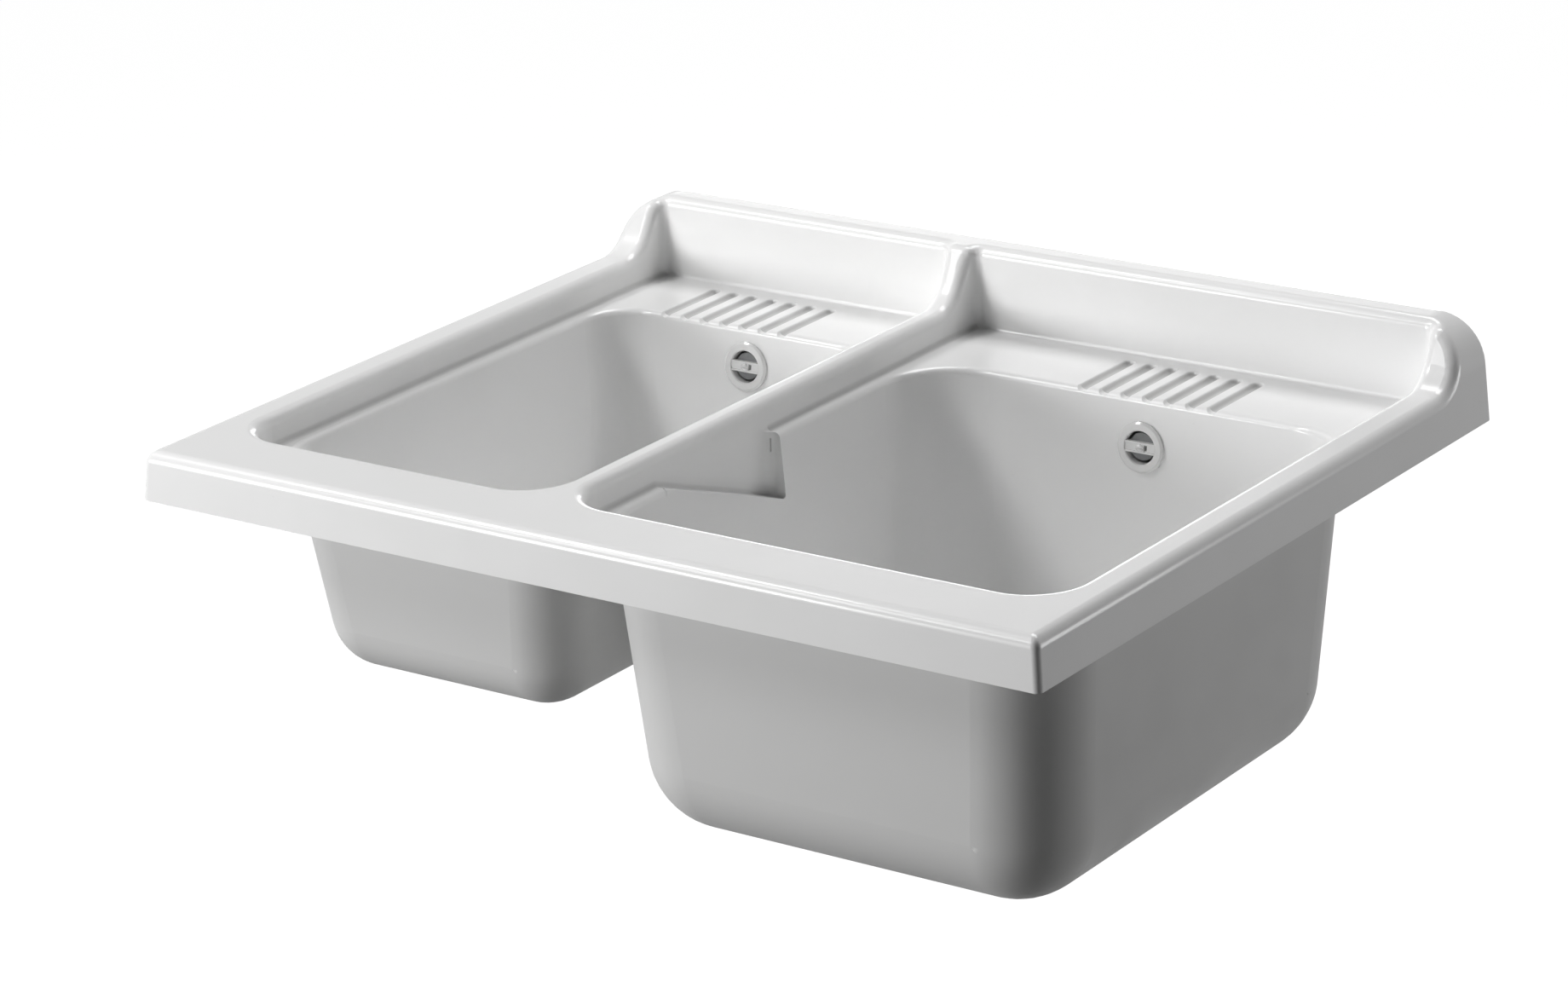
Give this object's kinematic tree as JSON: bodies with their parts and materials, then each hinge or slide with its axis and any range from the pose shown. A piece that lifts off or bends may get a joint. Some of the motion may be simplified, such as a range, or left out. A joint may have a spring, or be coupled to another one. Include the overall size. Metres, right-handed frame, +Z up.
{
  "type": "double laundry tub",
  "caption": "White moulded laundry tub with a small and a large bowl, raised back, soap shelves, washboard notch, overflows and wastes with lift-out plugs.",
  "frame": {"origin": "middle of the back edge of the apron's lower rim, where the cabinet top and the wall plane meet", "axes": "+X along the wall to the right as seen from the front, +Y into the wall, +Z up"},
  "size_m": [0.75, 0.61, 0.3455],
  "materials": {
    "tub_resin": "glossy moulded white",
    "rosette_plastic": "glossy moulded white",
    "fitting_plastic": "satin white",
    "nut_plastic": "satin mid grey",
    "black_rubber": "matt black",
    "steel": "brushed",
    "plug_chrome": "polished"
  },
  "bodies": {
    "tub": {"tub_shell": "tub_resin", "left_overflow_rosette": "rosette_plastic", "left_overflow_screw": "rosette_plastic", "left_overflow_gasket": "black_rubber", "left_overflow_elbow": "fitting_plastic", "left_overflow_pipe": "fitting_plastic", "left_upper_pipe_seal": "black_rubber", "left_lower_pipe_seal": "black_rubber", "left_upper_pipe_nut": "nut_plastic", "left_lower_pipe_nut": "nut_plastic", "left_waste_flange": "steel", "left_waste_flange_seal": "black_rubber", "left_waste_body_seal": "black_rubber", "left_waste_body": "fitting_plastic", "left_waste_screw": "steel", "right_overflow_rosette": "rosette_plastic", "right_overflow_screw": "rosette_plastic", "right_overflow_gasket": "black_rubber", "right_overflow_elbow": "fitting_plastic", "right_overflow_pipe": "fitting_plastic", "right_upper_pipe_seal": "black_rubber", "right_lower_pipe_seal": "black_rubber", "right_upper_pipe_nut": "nut_plastic", "right_lower_pipe_nut": "nut_plastic", "right_waste_flange": "steel", "right_waste_flange_seal": "black_rubber", "right_waste_body_seal": "black_rubber", "right_waste_body": "fitting_plastic", "right_waste_screw": "steel"},
    "left_plug": {"left_plug_seal": "black_rubber", "left_plug_cap": "plug_chrome", "left_plug_knob": "plug_chrome"},
    "right_plug": {"right_plug_seal": "black_rubber", "right_plug_cap": "plug_chrome", "right_plug_knob": "plug_chrome"}
  },
  "joints": [
    {"name": "left_plug_lift", "type": "slide", "parent": "tub", "child": "left_plug", "axis": [0, 0, 1], "range_m": [0, 0.06]},
    {"name": "right_plug_lift", "type": "slide", "parent": "tub", "child": "right_plug", "axis": [0, 0, 1], "range_m": [0, 0.06]}
  ]
}
